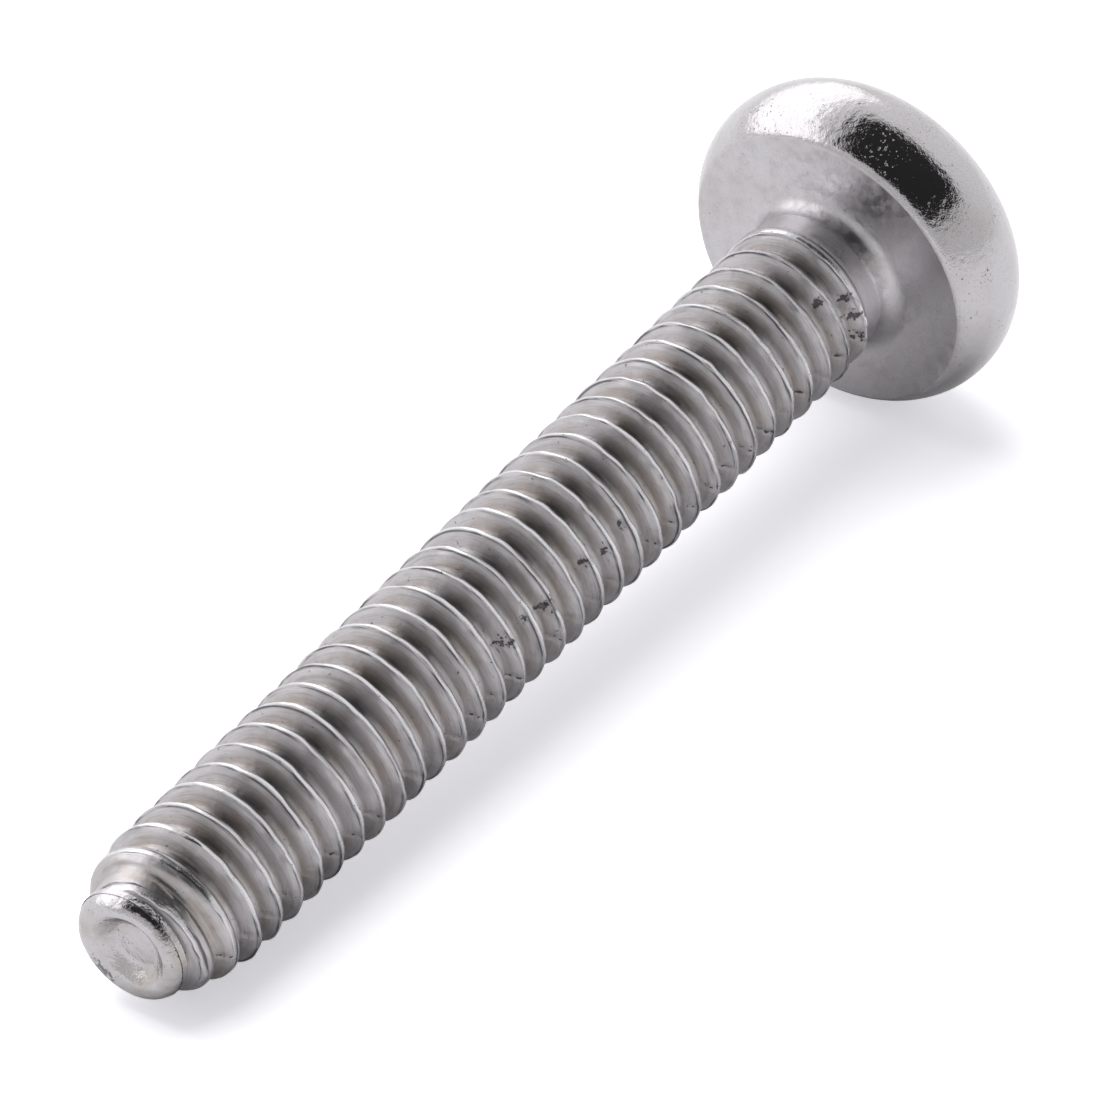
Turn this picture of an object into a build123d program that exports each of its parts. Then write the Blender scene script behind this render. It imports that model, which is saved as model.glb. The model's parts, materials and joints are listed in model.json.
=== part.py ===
"""Pan head thread-forming screw, M4 x 0.7 x 25, lying on its side.

One cold-formed piece: a pan head with a hexalobular recess, a short neck, and a
shank whose section is a rounded triangle, so that it forms its own thread.

Frame: +Z up, millimetres. The origin is the centre of the bearing face, on the
screw's axis. The tip points to +X and a little down, because the screw rests on
the rim of its head and on the last full crest of its thread.
"""

import os
from math import asin, atan2, cos, degrees, hypot, radians, sin, sqrt, tan

from build123d import *

# Head
head_diameter = 7.75
bearing_diameter = 6.78
head_height = 3.08
dome_start = radians(75)  # from the widest part round to where the flatter dome starts

# Neck, between the head and the thread
neck_diameter = 3.34
neck_length = 1.0
neck_fillet = 0.45

# Shank: a rounded triangle of constant width
length = 25.0  # from the bearing face to the end
shank_width = 3.66
lobe_rise = 0.065  # of each corner over the mean radius, and of each flat under it

# Thread, right-handed
pitch = 0.7
thread_depth = 0.4
crest_land = 0.12
flank_angle = radians(29)  # from the plane square to the axis
runout_side = -60  # degrees from the top, where the groove leaves the shank

# Point
taper_length = 1.28  # gentle taper beyond the last full crest
taper_drop = 0.25  # of the crest's radius over the taper
shoulder_length = 0.55  # steeper end of the thread, down to the nose
nose_length = 0.45
nose_diameter = 2.62
rim_round = 0.3  # of the end's edge
dimple_depth = 0.22

# Drive recess, hexalobular size 20
drive_across = 3.95
drive_waist = 2.85
drive_lobe_radius = 0.305
drive_depth = 1.7

head_radius = head_diameter / 2
bearing_radius = bearing_diameter / 2
neck_radius = neck_diameter / 2
mean_radius = shank_width / 2
crest_radius = mean_radius + lobe_rise
flat_radius = mean_radius - lobe_rise
root_radius = crest_radius - thread_depth
nose_radius = nose_diameter / 2
shank_end = length - nose_length
taper_end = shank_end - shoulder_length
taper_start = taper_end - taper_length

# One round joins the bearing face's edge to the dome. Its radius follows from the
# head's height, its two diameters and the slope where the dome starts.
overhang = head_radius - bearing_radius
dome_share = (1 - sin(dome_start)) / cos(dome_start)
square_term = (1 - dome_share) / (2 * overhang)
constant_term = (1 - dome_share) * overhang / 2 + head_radius * dome_share - head_height
round_depth = (sqrt(1 - 4 * square_term * constant_term) - 1) / (2 * square_term)
round_radius = (round_depth**2 + overhang**2) / (2 * overhang)
round_offset = head_radius - round_radius  # from the axis to the round's centre
dome_radius = round_radius + round_offset / cos(dome_start)

# The screw rests on the head's round and on the flat side of the last full crest.
rest_run = taper_start + round_depth
rest_rise = round_offset - flat_radius
tilt = atan2(rest_rise, rest_run) + asin(round_radius / hypot(rest_run, rest_rise))

toward_tip = Vector(cos(tilt), 0, -sin(tilt))
upward = Vector(sin(tilt), 0, cos(tilt))
screw_axis = Axis((0, 0, 0), toward_tip)
profile_plane = Plane(origin=(0, 0, 0), x_dir=toward_tip, z_dir=(0, -1, 0))


def section_plane(distance):
    """Plane square to the axis, at a distance from the bearing face toward the tip."""
    return Plane(origin=toward_tip * distance, x_dir=upward, z_dir=toward_tip)


def polar_point(radius, angle):
    """Point at a radius and an angle in degrees."""
    return (radius * cos(radians(angle)), radius * sin(radians(angle)))


def shank_outline():
    """Rounded triangle of constant width, with a corner on top and a flat below."""
    corner_offset = 2 * lobe_rise / (2 - sqrt(3))
    for direction in (0, 120, 240):
        center = polar_point(corner_offset, direction)
        CenterArc(center, crest_radius - corner_offset, direction - 30, 60)
        CenterArc(center, flat_radius + corner_offset, direction + 150, 60)


def drive_outline():
    """Six lobes joined by six hollow flutes, each tangent to its neighbours."""
    lobe_offset = drive_across / 2 - drive_lobe_radius
    waist = drive_waist / 2
    gap = lobe_offset**2 + waist**2 - drive_lobe_radius**2 - 2 * lobe_offset * waist * cos(radians(30))
    flute_radius = gap / (2 * (drive_lobe_radius - waist + lobe_offset * cos(radians(30))))
    flute_offset = waist + flute_radius
    across = flute_offset * sin(radians(30))
    along = flute_offset * cos(radians(30)) - lobe_offset
    lobe_half = degrees(atan2(across, along))
    flute_half = lobe_half - 30
    for direction in range(0, 360, 60):
        lobe_center = polar_point(lobe_offset, direction)
        CenterArc(lobe_center, drive_lobe_radius, direction - lobe_half, 2 * lobe_half)
        flute_center = polar_point(flute_offset, direction + 30)
        CenterArc(flute_center, flute_radius, direction + 210 + flute_half, -2 * flute_half)


with BuildPart() as head:
    with BuildSketch(profile_plane):
        with BuildLine():
            dome_edge = (
                -round_depth - round_radius * sin(dome_start),
                round_offset + round_radius * cos(dome_start),
            )
            face_edge = (0, bearing_radius)
            face_start = (0, neck_radius + neck_fillet)
            neck_start = (neck_fillet, neck_radius)
            Line((-head_height, 0), (neck_length, 0))
            Line((neck_length, 0), (neck_length, neck_radius))
            Line((neck_length, neck_radius), neck_start)
            RadiusArc(neck_start, face_start, neck_fillet)
            Line(face_start, face_edge)
            ThreePointArc(face_edge, (-round_depth, head_radius), dome_edge)
            RadiusArc(dome_edge, (-head_height, 0), -dome_radius)
        make_face()
    revolve(axis=screw_axis)
    with BuildSketch(section_plane(-head_height)):
        with BuildLine():
            drive_outline()
        make_face()
    extrude(amount=drive_depth, mode=Mode.SUBTRACT)

with BuildPart() as shank:
    with BuildSketch(section_plane(neck_length)):
        with BuildLine():
            shank_outline()
        make_face()
    extrude(amount=shank_end - neck_length)
    with BuildSketch(profile_plane):
        with BuildLine():
            Polyline(
                (neck_length, 0),
                (neck_length, crest_radius),
                (taper_start, crest_radius),
                (taper_end, crest_radius - taper_drop),
                (shank_end, nose_radius),
                (shank_end, 0),
                close=True,
            )
        make_face()
    revolve(axis=screw_axis, mode=Mode.INTERSECT)

with BuildPart() as nose:
    with BuildSketch(profile_plane):
        with BuildLine():
            dimple_edge = (length, nose_radius - rim_round)
            dimple_floor = (length - dimple_depth, 0)
            dimple_radius = (dimple_depth**2 + dimple_edge[1] ** 2) / (2 * dimple_depth)
            side_end = (length - rim_round, nose_radius)
            Polyline(dimple_floor, (shank_end, 0), (shank_end, nose_radius), side_end)
            RadiusArc(side_end, dimple_edge, rim_round)
            RadiusArc(dimple_edge, dimple_floor, -dimple_radius)
        make_face()
    revolve(axis=screw_axis)

# The groove follows a helix. It is placed so that a crest passes under the screw just
# before the taper, where the screw rests.
crest_below = taper_start - crest_land / 2
first_below = pitch * ((180 - runout_side) / 360 + 0.5)
groove_turns = int((crest_below - neck_length - first_below) / pitch)
groove_start = crest_below - first_below - groove_turns * pitch
groove_height = shank_end - groove_start
groove_top = upward.rotate(screw_axis, runout_side)
helix_plane = Plane(origin=toward_tip * groove_start, x_dir=groove_top, z_dir=toward_tip)
groove_path = helix_plane * Helix(pitch, groove_height, root_radius)
groove_plane = Plane(
    origin=toward_tip * groove_start,
    x_dir=toward_tip,
    z_dir=toward_tip.cross(groove_top),
)

with BuildPart() as groove:
    with BuildSketch(groove_plane) as groove_section:
        with BuildLine():
            outside = crest_land / 4 / tan(flank_angle)
            half_top = pitch / 2 - crest_land / 4
            half_root = half_top - (thread_depth + outside) * tan(flank_angle)
            Polyline(
                (-half_root, root_radius),
                (half_root, root_radius),
                (half_top, crest_radius + outside),
                (-half_top, crest_radius + outside),
                close=True,
            )
        make_face()
    sweep(path=groove_path, is_frenet=True)
    # It leaves the neck in a straight line.
    runout_length = 1.1 * sqrt((crest_radius + outside) ** 2 - root_radius**2)
    extrude(groove_section.sketch, amount=runout_length, dir=-(groove_path % 0))

with BuildPart() as screw:
    add(shank.part)
    add(groove.part, mode=Mode.SUBTRACT)
    add(head.part)
    add(nose.part)

os.makedirs("parts", exist_ok=True)
screw.part.label = "screw"
export_step(screw.part, "parts/screw.step")
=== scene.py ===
"""Looks of the pan head thread-forming screw: its mesh, finish, floor, light and camera.

The screw is one cold-formed piece, so it is one mesh: rings around the axis, from the
middle of the drive recess over the head, down the shank and round the end. Along the
thread the rings follow the helix, so that each crest is a clean run of edges.
"""

import json
from math import cos, pi, radians, sin, sqrt

import bpy
import numpy as np
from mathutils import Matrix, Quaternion, Vector


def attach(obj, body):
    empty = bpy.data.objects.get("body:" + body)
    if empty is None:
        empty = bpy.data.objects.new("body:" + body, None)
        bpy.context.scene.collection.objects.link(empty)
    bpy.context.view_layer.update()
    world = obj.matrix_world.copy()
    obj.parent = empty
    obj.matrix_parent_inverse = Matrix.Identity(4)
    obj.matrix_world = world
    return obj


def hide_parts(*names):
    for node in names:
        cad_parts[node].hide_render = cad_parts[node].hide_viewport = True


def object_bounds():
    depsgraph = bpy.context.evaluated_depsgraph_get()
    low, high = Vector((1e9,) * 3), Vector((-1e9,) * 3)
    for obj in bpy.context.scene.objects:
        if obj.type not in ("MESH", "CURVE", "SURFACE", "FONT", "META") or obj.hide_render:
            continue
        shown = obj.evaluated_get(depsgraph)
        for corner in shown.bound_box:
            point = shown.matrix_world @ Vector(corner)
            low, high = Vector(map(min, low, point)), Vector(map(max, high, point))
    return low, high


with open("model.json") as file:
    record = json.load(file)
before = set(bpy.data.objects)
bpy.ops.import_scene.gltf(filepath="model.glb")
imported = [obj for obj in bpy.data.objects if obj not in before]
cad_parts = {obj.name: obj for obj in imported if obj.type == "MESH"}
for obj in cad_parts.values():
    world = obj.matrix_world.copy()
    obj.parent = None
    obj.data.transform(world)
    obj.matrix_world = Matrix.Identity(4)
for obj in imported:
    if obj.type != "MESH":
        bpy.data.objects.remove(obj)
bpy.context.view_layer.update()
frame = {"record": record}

MM = 0.001

# Head
HEAD_RADIUS = 3.875
BEARING_RADIUS = 3.39
HEAD_HEIGHT = 3.08
DOME_START = radians(75)
EDGE_ROUND = 0.05  # of the bearing face's edge

# Neck
NECK_RADIUS = 1.67
NECK_LENGTH = 1.0
NECK_FILLET = 0.45

# Shank and thread
LENGTH = 25.0
MEAN_RADIUS = 1.83
LOBE_RISE = 0.065
PITCH = 0.7
THREAD_DEPTH = 0.4
CREST_LAND = 0.12
TAPER_LENGTH = 1.28
TAPER_DROP = 0.25
SHOULDER_LENGTH = 0.55

# End
NOSE_LENGTH = 0.45
NOSE_RADIUS = 1.31
RIM_ROUND = 0.3
DIMPLE_DEPTH = 0.22

# Drive recess
DRIVE_ACROSS = 3.95
DRIVE_WAIST = 2.85
DRIVE_LOBE_RADIUS = 0.305
DRIVE_DEPTH = 1.7

RECESS_CONE = 0.25  # rise of the recess's floor from its middle to its wall
RECESS_LIP = 0.06  # of the rounded edge round the recess

# One pitch of the thread, from root to root: distance from the crest's middle toward
# the tip, and how far the surface is below the crest, in millimetres. The crest leans
# back from a sharp edge on the tip's side.
PROFILE = (
    (-0.350, 0.425),
    (-0.278, 0.405),
    (-0.222, 0.320),
    (-0.160, 0.200),
    (-0.112, 0.105),
    (-0.082, 0.048),
    (-0.058, 0.026),
    (-0.020, 0.013),
    (0.018, 0.004),
    (0.040, 0.000),
    (0.058, 0.036),
    (0.098, 0.100),
    (0.145, 0.175),
    (0.192, 0.252),
    (0.240, 0.332),
    (0.290, 0.408),
)
FIRST_CREST_ROW = 5
LAST_CREST_ROW = 10
CREST_WANDER = 0.02  # of the crest's line, to and fro
BLUNTING = 0.012  # of the crest's height along the crest

# Laps that every turn has at one corner of the shank: angle from the top, distance
# from the crest toward the tip, size and depth.
TICK_ANGLE = radians(-101)
TICK_FROM_CREST = 0.15
TICK_SIZE = 0.12
TICK_DEPTH = 0.05

# Torn places: turns back from the last full crest, angle from the top, size, depth.
TEARS = (
    (13.0, -68, 0.20, 0.075),
    (15.0, -70, 0.20, 0.075),
    (16.9, -66, 0.15, 0.05),
    (17.8, -72, 0.13, 0.05),
    (14.0, -64, 0.10, 0.035),
    (19.0, -66, 0.12, 0.04),
    (10.9, -60, 0.09, 0.03),
    (31.0, -60, 0.16, 0.06),
    (31.1, -78, 0.18, 0.07),
    (31.1, -96, 0.13, 0.05),
    (29.9, -48, 0.16, 0.05),
)
TEAR_FROM_CREST = 0.13

# The dish in the end is off the axis, toward one side.
DISH_OFFSET = 0.2
DISH_SIDE = radians(-55)
DISH_RADIUS = 0.95
DISH_DEPTH = 0.27
TORN_RIM_SIDE = radians(142)
TORN_RIM_SPREAD = radians(24)
END_TRIM = 0.02  # keeps the uneven rim inside the plain nose

# Colours
STEEL = (0.57, 0.55, 0.57)
# painted highlight along the thread's crest
PAINTED_HIGHLIGHT = (0.78, 0.77, 0.79)
WARM_STEEL = (0.46, 0.42, 0.40)
DARK_STEEL = (0.25, 0.24, 0.25)
# dark pits, and also the painted shade beside the thread's crest
PIT_AND_PAINTED_SHADE = (0.06, 0.055, 0.06)

# Camera and floor
CAMERA_ROLL = radians(-0.38)
FLOOR_LIFT = 0.5  # light the camera sees on top of the floor's own

# Mesh density
COLUMNS = 144  # around the axis

SHANK_END = LENGTH - NOSE_LENGTH
TAPER_END = SHANK_END - SHOULDER_LENGTH
TAPER_START = TAPER_END - TAPER_LENGTH
CREST_RADIUS = MEAN_RADIUS + LOBE_RISE

bearing_face = next(m for m in frame["record"]["mounts"] if m["name"] == "bearing_face")
ORIGIN = np.array(bearing_face["pos_m"])
TOWARD_TIP = np.array(bearing_face["axis"])
SIDEWAYS = np.array([0.0, -1.0, 0.0])
UPWARD = np.cross(SIDEWAYS, TOWARD_TIP)
ANGLES = pi + 2 * pi * np.arange(COLUMNS) / COLUMNS  # the first column faces the floor


def smooth_step(low, high, value):
    """0 below low, 1 above high, and smooth between."""
    share = np.clip((value - low) / (high - low), 0, 1)
    return share * share * (3 - 2 * share)


def wave_noise(values, seed, octaves=3, scale=1.0):
    """Smooth noise of a one-dimensional place, about -1 to 1, the same at each run."""
    draw = np.random.default_rng(seed)
    total = np.zeros_like(values)
    for octave in range(octaves):
        for _ in range(4):
            frequency = scale * 2**octave * draw.uniform(0.7, 1.4)
            total += np.sin(frequency * values + draw.uniform(0, 2 * pi)) / 2**octave / 3
    return total


def lobed(radius_rise=LOBE_RISE, angles=ANGLES):
    """How far a corner or flat of the rounded triangle is from the mean radius."""
    return radius_rise * np.cos(3 * angles)


def place(along, radius, angles=ANGLES):
    """Points in the row frame, in metres, from millimetres along and off the axis."""
    along, radius, angles = np.broadcast_arrays(along, radius, angles)
    across = np.cos(angles)[..., None] * UPWARD + np.sin(angles)[..., None] * SIDEWAYS
    return ORIGIN + MM * (along[..., None] * TOWARD_TIP + radius[..., None] * across)


class Skin:
    """Vertices and faces of a closed skin, made ring by ring."""

    def __init__(self):
        self.points = []
        self.helixes = []
        self.tears = []
        self.faces = []
        self.kinds = []
        self.count = 0

    def add(self, points, helix=None, torn=None):
        """Adds vertices and returns their numbers. Those of the thread also have their
        places along it and how torn they are."""
        self.points.append(points)
        self.helixes.append(np.zeros(points.shape) if helix is None else helix)
        self.tears.append(np.zeros(len(points)) if torn is None else torn)
        self.count += len(points)
        return np.arange(self.count - len(points), self.count)

    def ring(self, along, radius, torn=None):
        """Adds one ring of COLUMNS vertices and returns their numbers."""
        return self.add(place(along, radius), torn=torn)

    def point(self, along):
        """Adds one vertex on the axis and returns its number."""
        return int(self.add(place(np.array([along]), np.array([0.0]), np.array([0.0])))[0])

    def face(self, corners, kind):
        """Adds a face that looks outward, without the corners that fall together."""
        kept = [c for i, c in enumerate(corners) if c != corners[i - 1]]
        if len(kept) > 2:
            self.faces.append(kept[::-1])
            self.kinds.append(kind)

    def band(self, before, after, kind):
        """Joins two rings, the second nearer the tip."""
        for i in range(COLUMNS):
            j = (i + 1) % COLUMNS
            self.face([before[i], after[i], after[j], before[j]], kind)

    def fan(self, centre, ring, kind, toward_tip):
        """Closes a ring with triangles to a vertex on the axis."""
        for i in range(COLUMNS):
            j = (i + 1) % COLUMNS
            pair = [ring[i], ring[j]] if toward_tip else [ring[j], ring[i]]
            self.face([centre, *pair], kind)


def drive_radius(angles):
    """Outline of the recess: lobes joined by hollow flutes, tangent to each other."""
    lobe_offset = DRIVE_ACROSS / 2 - DRIVE_LOBE_RADIUS
    waist = DRIVE_WAIST / 2
    turn = radians(30)
    gap = lobe_offset**2 + waist**2 - DRIVE_LOBE_RADIUS**2 - 2 * lobe_offset * waist * cos(turn)
    flute_radius = gap / (2 * (DRIVE_LOBE_RADIUS - waist + lobe_offset * cos(turn)))
    flute_offset = waist + flute_radius
    off_lobe = np.abs((angles + turn) % (2 * turn) - turn)
    lobe_root = np.maximum(DRIVE_LOBE_RADIUS**2 - (lobe_offset * np.sin(off_lobe)) ** 2, 0)
    lobe = lobe_offset * np.cos(off_lobe) + np.sqrt(lobe_root)
    off_flute = turn - off_lobe
    flute_root = np.maximum(flute_radius**2 - (flute_offset * np.sin(off_flute)) ** 2, 0)
    flute = flute_offset * np.cos(off_flute) - np.sqrt(flute_root)
    tangent_along = flute_offset * cos(turn) - lobe_offset
    tangent_across = flute_offset * sin(turn)
    share = DRIVE_LOBE_RADIUS / (DRIVE_LOBE_RADIUS + flute_radius)
    tangent = np.arctan2(share * tangent_across, lobe_offset + share * tangent_along)
    return np.where(off_lobe < tangent, lobe, flute)


def head_round():
    """Depth, offset and radius of the round that joins the bearing face to the dome."""
    overhang = HEAD_RADIUS - BEARING_RADIUS
    dome_share = (1 - sin(DOME_START)) / cos(DOME_START)
    square_term = (1 - dome_share) / (2 * overhang)
    constant_term = (1 - dome_share) * overhang / 2 + HEAD_RADIUS * dome_share - HEAD_HEIGHT
    depth = (sqrt(1 - 4 * square_term * constant_term) - 1) / (2 * square_term)
    radius = (depth**2 + overhang**2) / (2 * overhang)
    return depth, HEAD_RADIUS - radius, radius


def build_head(skin):
    """From the middle of the recess to the neck. Returns the neck's last ring."""
    depth, offset, radius = head_round()
    dome_radius = radius + offset / cos(DOME_START)
    outline = drive_radius(ANGLES)

    def dome_height(distance):
        return -HEAD_HEIGHT + dome_radius - np.sqrt(dome_radius**2 - distance**2)

    floor_depth = -HEAD_HEIGHT + DRIVE_DEPTH
    centre = skin.point(floor_depth + RECESS_CONE)
    rings = []
    for share in (0.3, 0.6, 0.85):
        rings.append(skin.ring(floor_depth + RECESS_CONE * (1 - share), outline * share * 0.97))
    rings.append(skin.ring(floor_depth, outline * 0.99))
    skin.fan(centre, rings[0], "recess", toward_tip=False)
    for share in (0.05, 0.5, 0.95):
        rings.append(skin.ring(floor_depth + share * (dome_height(outline) - floor_depth), outline))
    for before, after in zip(rings, rings[1:]):
        skin.band(after, before, "recess")
    rim = rings[-1]
    rings = [rim]
    dome_edge = offset + radius * cos(DOME_START)
    for share in (0.0, 0.08, 0.25, 0.45, 0.65, 0.85):
        lip = outline + RECESS_LIP
        distance = lip + share * (dome_edge - lip)
        rings.append(skin.ring(dome_height(distance), distance))
    edge_angle = -np.arcsin(depth / radius)
    for angle in np.linspace(DOME_START, edge_angle + 0.02, 26):
        rings.append(skin.ring(-depth - radius * np.sin(angle), offset + radius * np.cos(angle)))
    for before, after in zip(rings, rings[1:]):
        skin.band(before, after, "side")
    side_end = rings[-1]
    rings = [side_end]
    for turn in np.radians((20, 45, 70, 90)):
        edge_radius = BEARING_RADIUS - EDGE_ROUND * (1 - np.cos(turn))
        rings.append(skin.ring(-EDGE_ROUND * (1 - np.sin(turn)) * 0.5, edge_radius))
    face_start = NECK_RADIUS + NECK_FILLET
    for distance in np.linspace(BEARING_RADIUS - 1.6 * EDGE_ROUND, face_start, 9):
        rings.append(skin.ring(0, distance))
    for turn in np.radians((10, 25, 40, 55, 70, 85)):
        rings.append(
            skin.ring(NECK_FILLET * (1 - np.cos(turn)), face_start - NECK_FILLET * np.sin(turn))
        )
    for before, after in zip(rings, rings[1:]):
        skin.band(before, after, "face")
    return rings[-1]


def envelope(along):
    """Radius that the thread's crest may reach at each place along the screw."""
    rise = smooth_step(NECK_LENGTH - 0.05, NECK_LENGTH + 0.25, along)
    full = NECK_RADIUS + (CREST_RADIUS - NECK_RADIUS) * rise
    taper = CREST_RADIUS - TAPER_DROP * (along - TAPER_START) / TAPER_LENGTH
    shoulder = smooth_step(TAPER_END - 0.1, SHANK_END + 0.1, along)
    taper = taper + (NOSE_RADIUS - CREST_RADIUS + TAPER_DROP) * shoulder
    return np.minimum(full, taper)


def hollow(across, around, size):
    """1 in the middle of a small hollow and 0 outside it."""
    return np.exp(-2.2 * (across**2 + around**2) / size**2)


def build_thread(skin, first_ring):
    """The shank, with its rings along the helix. Returns the ring at the nose."""
    start = NECK_FILLET
    crest_below = TAPER_START - CREST_LAND / 2
    per_turn = len(PROFILE)
    first = int((start - crest_below) / PITCH) - 2
    last = int((SHANK_END - crest_below) / PITCH) + 2
    turns = np.arange(first, last)
    rows = np.tile(np.arange(per_turn), len(turns))
    turned = (ANGLES - pi) / (2 * pi)
    turn = np.repeat(turns, per_turn)[:, None] + turned
    offsets = np.array([offset for offset, _ in PROFILE])[rows][:, None]
    drop = np.array([depth for _, depth in PROFILE])[rows][:, None] + np.zeros(COLUMNS)
    at_crest = ((rows >= FIRST_CREST_ROW) & (rows <= LAST_CREST_ROW))[:, None]
    offsets = offsets + CREST_WANDER * at_crest * wave_noise(2 * pi * turn, seed=3, scale=8)
    drop = drop + BLUNTING * at_crest * (0.6 + wave_noise(2 * pi * turn, seed=8, scale=3))

    # The groove ends in a shallow run-out on the neck's side.
    groove = turn + np.where(offsets > 0, 0.5, -0.5)
    groove_start = (NECK_LENGTH + 0.5 * PITCH - crest_below) / PITCH
    drop = drop * smooth_step(groove_start - 0.25, groove_start + 0.1, groove)

    # Laps at one corner, and torn places.
    off_tick = (ANGLES - TICK_ANGLE + pi) % (2 * pi) - pi
    tick_place = 0.03 * wave_noise(turn - turned, seed=12, scale=5)
    tick_around = MEAN_RADIUS * off_tick - 0.5 * (offsets - TICK_FROM_CREST) - tick_place
    shaped = hollow((offsets - TICK_FROM_CREST) * 0.8, tick_around * 2.2, TICK_SIZE)
    shaped = shaped * np.clip(1 + 0.7 * wave_noise(turn - turned, seed=14, scale=3), 0, 1.5)
    drop = drop + TICK_DEPTH * shaped
    torn = shaped
    grain = wave_noise(offsets * 70 + turn * 130, seed=16, scale=1)
    for back, angle, size, depth in TEARS:
        own_turn = np.round(turn - turned + back)
        across = np.where(own_turn == 0, offsets - TEAR_FROM_CREST, 9)
        around = MEAN_RADIUS * ((ANGLES - radians(angle) + pi) % (2 * pi) - pi)
        shaped = hollow(across, around * 0.7, size)
        drop = drop + depth * shaped * (1 + 0.5 * grain)
        torn = torn + shaped

    along = crest_below + PITCH * turn + offsets
    radius = np.minimum(
        MEAN_RADIUS + lobed() - drop, envelope(along) + lobed(LOBE_RISE * 0.3) - 0.25 * drop
    )
    nose_ring = skin.ring(SHANK_END, NOSE_RADIUS)
    inside = (along > start) & (along < SHANK_END)
    numbers = np.where(along <= start, first_ring, nose_ring)
    helix = np.stack(
        np.broadcast_arrays(2 * pi * MEAN_RADIUS * turned, along - PITCH * turned, drop), axis=-1
    )
    angles = np.broadcast_to(ANGLES, along.shape)
    points = place(along[inside], radius[inside], angles[inside])
    numbers[inside] = skin.add(points, helix[inside], torn[inside])
    for row in range(len(numbers) - 1):
        before, after = numbers[row], numbers[row + 1]
        for i in range(COLUMNS - 1):
            skin.face([before[i], after[i], after[i + 1], before[i + 1]], "thread")
        # The last column meets the first one a pitch further on.
        if row + per_turn + 1 < len(numbers):
            skin.face(
                [before[-1], after[-1], numbers[row + per_turn + 1][0], numbers[row + per_turn][0]],
                "thread",
            )
    return nose_ring


def build_end(skin, first_ring):
    """The nose, its uneven rim and the dished end."""
    wobble = wave_noise(ANGLES - pi, seed=21, scale=2) * np.sin((ANGLES - pi) / 2) ** 2
    edge = NOSE_RADIUS - RIM_ROUND

    def end_height(radius):
        away = np.hypot(
            radius * np.cos(ANGLES) - DISH_OFFSET * cos(DISH_SIDE),
            radius * np.sin(ANGLES) - DISH_OFFSET * sin(DISH_SIDE),
        )
        dish = 1 - smooth_step(0.5, 1.02, away / DISH_RADIUS)
        rough = 0.02 * wave_noise(3 * ANGLES + 4 * radius, seed=23, scale=1)
        rough = rough * np.sin((ANGLES - pi) / 2) ** 2 * smooth_step(0.3, 0.9, radius)
        return LENGTH - END_TRIM - DISH_DEPTH * dish + rough

    off_torn = (ANGLES - TORN_RIM_SIDE + pi) % (2 * pi) - pi
    torn_side = np.exp(-((off_torn / TORN_RIM_SPREAD) ** 2))

    rings = [first_ring]
    for share in (0.1, 0.22, 0.33):
        rings.append(skin.ring(SHANK_END + share * NOSE_LENGTH, NOSE_RADIUS - END_TRIM * share))
    for turn in np.radians((0, 12, 24, 36, 48, 60, 72, 84)):
        radius = edge + RIM_ROUND * np.cos(turn) - END_TRIM * (1 + 0.4 * wobble)
        height = end_height(edge)
        torn = torn_side * (turn > radians(30))
        rings.append(skin.ring(height - RIM_ROUND * (1 - np.sin(turn)), radius, torn))
    for share in np.linspace(0.96, 0.1, 20):
        radius = (edge - END_TRIM * (1 + 0.4 * wobble)) * share
        torn = torn_side * smooth_step(0.7, 0.95, share)
        rings.append(skin.ring(end_height(radius), radius, torn))
    for before, after in zip(rings, rings[1:]):
        skin.band(before, after, "end")
    centre = end_height(np.zeros(COLUMNS))[0]
    skin.fan(skin.point(centre), rings[-1], "end", toward_tip=True)


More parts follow.
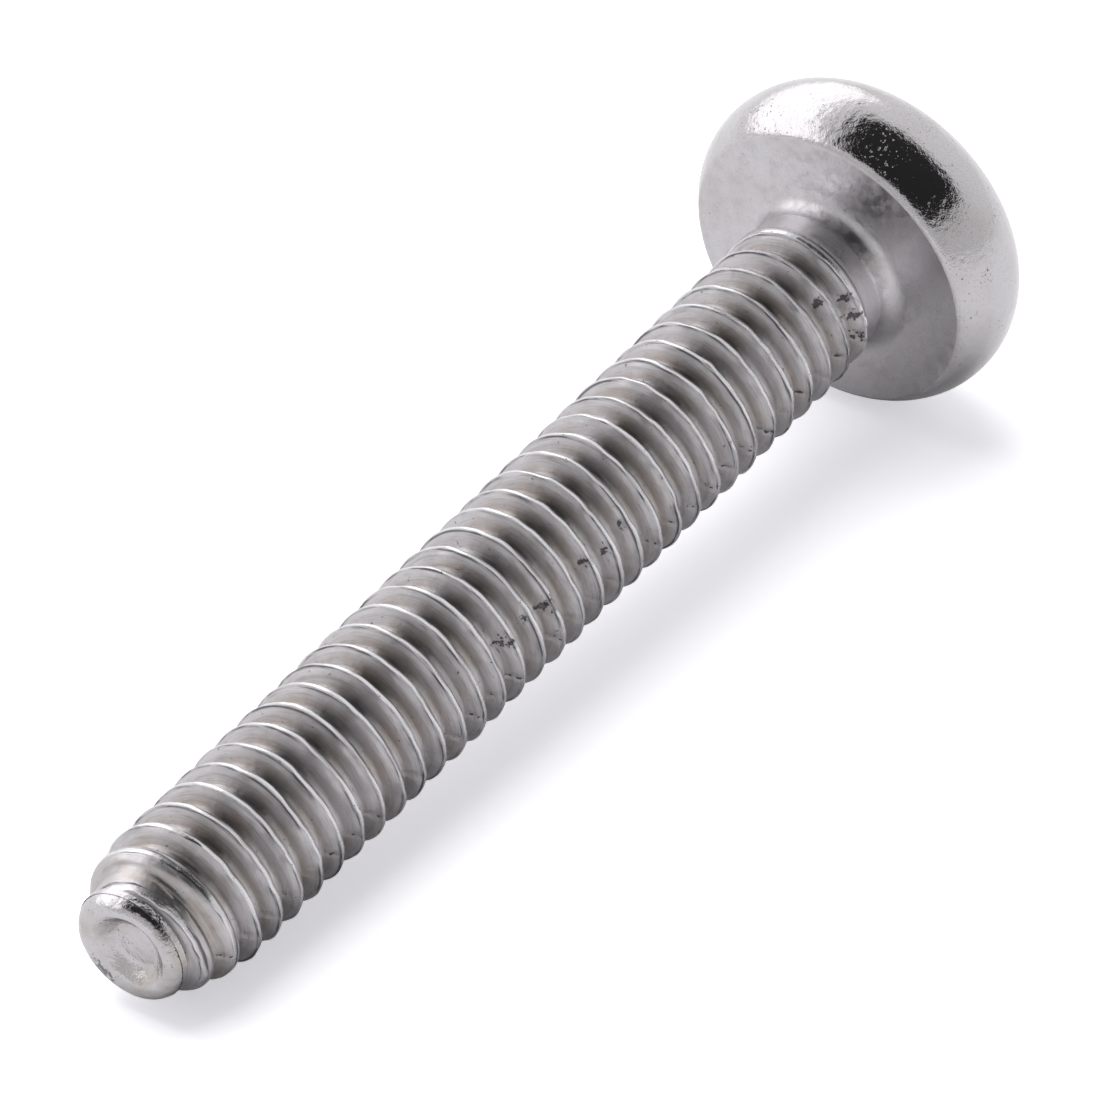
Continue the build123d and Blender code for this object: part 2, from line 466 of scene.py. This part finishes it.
class Graph:
    """Short ways to add and join the nodes of one material."""

    def __init__(self, name):
        self.material = bpy.data.materials.new(name)
        self.material.use_nodes = True
        self.tree = self.material.node_tree
        self.shader = self.tree.nodes["Principled BSDF"]

    def put(self, socket, value):
        """Gives a socket a value, or links another socket to it."""
        if isinstance(value, bpy.types.NodeSocket):
            self.tree.links.new(value, socket)
        else:
            socket.default_value = value

    def math(self, operation, first, second=0.0, third=0.0):
        node = self.tree.nodes.new("ShaderNodeMath")
        node.operation = operation
        for socket, value in zip(node.inputs, (first, second, third)):
            self.put(socket, value)
        return node.outputs[0]

    def millimetres(self, stretch=(1, 1, 1)):
        """Place on the piece in millimetres, stretched along each axis."""
        node = self.tree.nodes.new("ShaderNodeTexCoord")
        return self.scaled(node.outputs["Object"], [1000 * share for share in stretch])

    def attribute(self, name, stretch=(1, 1, 1)):
        """A vector kept with the mesh, stretched along each axis."""
        node = self.tree.nodes.new("ShaderNodeAttribute")
        node.attribute_name = name
        return self.scaled(node.outputs["Vector"], stretch)

    def scaled(self, vector, stretch):
        node = self.tree.nodes.new("ShaderNodeVectorMath")
        node.operation = "MULTIPLY"
        self.put(node.inputs[0], vector)
        node.inputs[1].default_value = stretch
        return node.outputs[0]

    def noise(self, vector, scale, detail=3.0, rough=0.5):
        node = self.tree.nodes.new("ShaderNodeTexNoise")
        self.put(node.inputs["Vector"], vector)
        node.inputs["Scale"].default_value = scale
        node.inputs["Detail"].default_value = detail
        node.inputs["Roughness"].default_value = rough
        return node.outputs[0]

    def fade(self, value, low, high, start=0.0, end=1.0):
        """From start at low to end at high, and level outside."""
        node = self.tree.nodes.new("ShaderNodeMapRange")
        node.interpolation_type = "SMOOTHSTEP"
        for socket, number in zip(node.inputs, (value, low, high, start, end)):
            self.put(socket, number)
        return node.outputs[0]

    def mix(self, share, first, second):
        """A colour between two others."""
        node = self.tree.nodes.new("ShaderNodeMix")
        node.data_type = "RGBA"
        self.put(node.inputs["Factor"], share)
        for socket, colour in zip((node.inputs[6], node.inputs[7]), (first, second)):
            self.put(socket, colour if isinstance(colour, bpy.types.NodeSocket) else (*colour, 1))
        return node.outputs[2]

    def bump(self, height, distance_mm, below=None):
        """Raises the surface by height times a distance."""
        node = self.tree.nodes.new("ShaderNodeBump")
        node.inputs["Distance"].default_value = distance_mm * MM
        self.put(node.inputs["Height"], height)
        if below is not None:
            self.put(node.inputs["Normal"], below)
        return node.outputs["Normal"]


def plain_steel(name, roughness, ripple, pits, mottle=0.3):
    """Formed steel: a mottled grey with ripples, grain and fine dark pits."""
    graph = Graph(name)
    place_mm = graph.millimetres()
    clouds = graph.noise(place_mm, 1.1, 5)
    grain = graph.noise(place_mm, 30, 2)
    colour = graph.mix(graph.fade(clouds, 0.42, 0.7, 0, mottle), STEEL, WARM_STEEL)
    colour = graph.mix(graph.fade(grain, 0.5, 0.75, 0, 0.3), colour, DARK_STEEL)
    gathered = graph.fade(graph.noise(place_mm, 1.3, 3), 0.35, 0.7, 0.0, pits)
    torn = graph.tree.nodes.new("ShaderNodeAttribute")
    torn.attribute_name = "torn"
    speck = graph.math("ADD", graph.noise(place_mm, 13, 3, 0.65), gathered)
    speck = graph.math("MULTIPLY_ADD", torn.outputs["Fac"], 0.27, speck)
    pit = graph.fade(speck, 0.71, 0.78)
    colour = graph.mix(graph.math("MULTIPLY", pit, 0.75), colour, PIT_AND_PAINTED_SHADE)
    graph.put(graph.shader.inputs["Base Color"], colour)
    graph.shader.inputs["Metallic"].default_value = 1
    rough = graph.fade(graph.noise(place_mm, 4, 4), 0.35, 0.7, roughness * 0.75, roughness * 1.3)
    graph.put(graph.shader.inputs["Roughness"], rough)
    waves = graph.noise(place_mm, 5, 4, 0.55)
    normal = graph.bump(waves, ripple)
    normal = graph.bump(grain, 0.003, normal)
    normal = graph.bump(graph.math("MULTIPLY", pit, -1), 0.012, normal)
    graph.put(graph.shader.inputs["Normal"], normal)
    return graph.material


def thread_steel(name):
    """Rolled steel: smooth flanks with scratches along the helix, a warmer, darker tone deeper in the
    groove, a painted highlight along the crest and painted shade beside it.
    """
    graph = Graph(name)
    place_mm = graph.millimetres()
    streak = graph.noise(graph.attribute("helix", (0.5, 16, 0)), 1, 4, 0.6)
    fine_streak = graph.noise(graph.attribute("helix", (1.6, 75, 0)), 1, 3, 0.6)
    split = graph.tree.nodes.new("ShaderNodeSeparateXYZ")
    graph.put(split.inputs[0], graph.attribute("helix"))
    depth = split.outputs["Z"]
    clouds = graph.noise(place_mm, 1.1, 4)
    blotch = graph.noise(place_mm, 5, 4, 0.6)
    # Warmer and darker toward the bottom of the groove, in patches.
    deep_tint = graph.math("MULTIPLY", graph.fade(depth, 0.04, 0.3), graph.fade(clouds, 0.35, 0.65, 0.3, 1))
    colour = graph.mix(deep_tint, STEEL, WARM_STEEL)
    colour = graph.mix(graph.fade(streak, 0.48, 0.72, 0, 0.45), colour, DARK_STEEL)
    colour = graph.mix(graph.fade(fine_streak, 0.5, 0.72, 0, 0.4), colour, DARK_STEEL)
    # Painted highlight: the crest is mixed toward a brighter colour.
    colour = graph.mix(graph.fade(depth, 0.012, 0.03, 0.8, 0), colour, PAINTED_HIGHLIGHT)
    # Painted shade: a dark line beside the crest, here and there.
    beside = graph.math(
        "MULTIPLY", graph.fade(depth, 0.022, 0.034), graph.fade(depth, 0.05, 0.085, 1, 0)
    )
    painted_shade = graph.math("MULTIPLY", beside, graph.fade(streak, 0.44, 0.6))
    colour = graph.mix(graph.math("MULTIPLY", painted_shade, 0.8), colour, PIT_AND_PAINTED_SHADE)
    torn = graph.tree.nodes.new("ShaderNodeAttribute")
    torn.attribute_name = "torn"
    ragged = graph.math("MULTIPLY_ADD", torn.outputs["Fac"], 0.3, graph.noise(place_mm, 9, 3, 0.6))
    spot = graph.fade(ragged, 0.68, 0.75)
    colour = graph.mix(graph.math("MULTIPLY", spot, 0.85), colour, PIT_AND_PAINTED_SHADE)
    graph.put(graph.shader.inputs["Base Color"], colour)
    graph.shader.inputs["Metallic"].default_value = 1
    rough = graph.fade(blotch, 0.3, 0.7, 0.32, 0.44)
    rough = graph.math("MULTIPLY", rough, graph.fade(depth, 0.012, 0.05, 0.6, 1))
    graph.put(graph.shader.inputs["Roughness"], rough)
    normal = graph.bump(clouds, 0.03)
    normal = graph.bump(blotch, 0.008, normal)
    normal = graph.bump(streak, 0.005, normal)
    normal = graph.bump(fine_streak, 0.002, normal)
    normal = graph.bump(graph.math("MULTIPLY", spot, -1), 0.01, normal)
    graph.put(graph.shader.inputs["Normal"], normal)
    return graph.material


def build_screw():
    skin = Skin()
    neck = build_head(skin)
    nose = build_thread(skin, neck)
    build_end(skin, nose)
    mesh = bpy.data.meshes.new("screw_steel")
    mesh.from_pydata(np.concatenate(skin.points).tolist(), [], skin.faces)
    helix = mesh.attributes.new("helix", "FLOAT_VECTOR", "POINT")
    helix.data.foreach_set("vector", np.concatenate(skin.helixes).ravel())
    torn = mesh.attributes.new("torn", "FLOAT", "POINT")
    torn.data.foreach_set("value", np.concatenate(skin.tears))
    finishes = {
        "side": plain_steel("steel_side", roughness=0.08, ripple=0.016, pits=0.12),
        "face": plain_steel("steel_face", roughness=0.38, ripple=0.012, pits=0.02),
        "thread": thread_steel("steel_thread"),
        "end": plain_steel("steel_end", roughness=0.16, ripple=0.03, pits=0.08, mottle=0.8),
        "recess": plain_steel("steel_recess", roughness=0.34, ripple=0.012, pits=0.03),
    }
    for finish in finishes.values():
        mesh.materials.append(finish)
    kinds = list(finishes)
    mesh.polygons.foreach_set("material_index", [kinds.index(k) for k in skin.kinds])
    mesh.validate()
    mesh.shade_smooth()
    mesh.set_sharp_from_angle(angle=radians(50))
    screw = bpy.data.objects.new("screw_steel", mesh)
    bpy.context.scene.collection.objects.link(screw)
    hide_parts("screw")
    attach(screw, "root")
    return screw


def build_floor():
    """A pale floor that the camera sees as white, with the screw's shadow on it."""
    low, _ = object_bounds()
    bpy.ops.mesh.primitive_plane_add(size=1.6, location=(0, 0, low.z))
    floor = bpy.context.object
    floor.name = "floor"
    graph = Graph("white_floor")
    graph.shader.inputs["Base Color"].default_value = (0.72, 0.72, 0.73, 1)
    graph.shader.inputs["Roughness"].default_value = 0.8
    graph.shader.inputs["Specular IOR Level"].default_value = 0.1
    rays = graph.tree.nodes.new("ShaderNodeLightPath")
    graph.shader.inputs["Emission Color"].default_value = (0.96, 0.95, 1, 1)
    lift = graph.math("MULTIPLY", rays.outputs["Is Camera Ray"], FLOOR_LIFT)
    graph.put(graph.shader.inputs["Emission Strength"], lift)
    floor.data.materials.append(graph.material)
    return floor


def build_camera():
    """Looks at the screw from above its tip, to one side."""
    elevation = radians(37.8)
    azimuth = radians(36.1)
    distance = 0.1988
    away = Vector((cos(azimuth) * cos(elevation), sin(azimuth) * cos(elevation), sin(elevation)))
    right = Vector((-sin(azimuth), cos(azimuth), 0))
    middle = Vector(ORIGIN) + Vector(TOWARD_TIP) * 0.0108
    middle += right * 0.00026 + away.cross(right) * 0.0001
    camera = bpy.data.cameras.new("camera")
    camera.sensor_width = 36
    camera.lens = 312
    rig = bpy.data.objects.new("camera", camera)
    bpy.context.scene.collection.objects.link(rig)
    rig.location = middle + away * distance
    level = away.to_track_quat("Z", "Y")
    rig.rotation_euler = (level @ Quaternion((0, 0, 1), CAMERA_ROLL)).to_euler()
    camera.clip_start = 0.01
    camera.clip_end = 10
    bpy.context.scene.camera = rig
    return rig


def area_light(name, location, size, power):
    light = bpy.data.lights.new(name, "AREA")
    light.shape = "SQUARE"
    light.size = size
    light.energy = power
    lamp = bpy.data.objects.new(name, light)
    bpy.context.scene.collection.objects.link(lamp)
    lamp.location = location
    lamp.rotation_euler = Vector(location).to_track_quat("Z", "Y").to_euler()
    return lamp


class Sky(Graph):
    """The light tent as brightness by direction."""

    def __init__(self, name):
        self.world = bpy.data.worlds.new(name)
        self.world.use_nodes = True
        self.tree = self.world.node_tree
        self.shader = self.tree.nodes["Background"]
        self.direction = self.tree.nodes.new("ShaderNodeTexCoord").outputs["Generated"]

    def toward(self, axis):
        """How far the direction points along an axis, -1 to 1."""
        node = self.tree.nodes.new("ShaderNodeVectorMath")
        node.operation = "DOT_PRODUCT"
        self.put(node.inputs[0], self.direction)
        node.inputs[1].default_value = axis
        return node.outputs["Value"]

    def panel(self, centre, across, half_wide, half_high, soft):
        """1 inside a flat panel that faces the middle, 0 outside."""
        centre = Vector(centre).normalized()
        across = (Vector(across) - centre * centre.dot(Vector(across))).normalized()
        ahead = self.toward(centre)
        inside = self.fade(ahead, 0.02, 0.06)
        for axis, half in ((across, half_wide), (centre.cross(across), half_high)):
            off = self.math("ABSOLUTE", self.math("DIVIDE", self.toward(axis), ahead))
            inside = self.math("MULTIPLY", inside, self.fade(off, half - soft, half + soft, 1, 0))
        return inside


def build_light():
    """A bright tent with a dark opening above the screw and a big lamp to its left."""
    sky = Sky("studio")
    bpy.context.scene.world = sky.world
    level = sky.fade(sky.toward((-0.75, -0.66, 0.1)), -0.9, 0.9, 0.68, 0.95)
    softbox = sky.panel((-0.1, -0.86, 0.5), (1, 0, 0), 1.3, 0.42, 0.05)
    level = sky.math("MULTIPLY_ADD", softbox, 0.95, level)
    opening = sky.panel((0.2, 0.36, 0.92), TOWARD_TIP, 0.86, 0.85, 0.04)
    level = sky.math("MULTIPLY", level, sky.fade(opening, 0, 1, 1, 0.04))
    rays = sky.tree.nodes.new("ShaderNodeLightPath")
    seen = rays.outputs["Is Camera Ray"]
    level = sky.math("ADD", sky.math("MULTIPLY", level, sky.math("SUBTRACT", 1.0, seen)), seen)
    sky.put(sky.shader.inputs["Strength"], level)
    sky.shader.inputs["Color"].default_value = (1, 1, 1, 1)
    key = area_light("key", (-0.04, -0.14, 0.4), 0.36, 1.9)
    key.visible_glossy = False


build_screw()
build_floor()
build_camera()
build_light()

bpy.context.scene.view_settings.view_transform = "Standard"
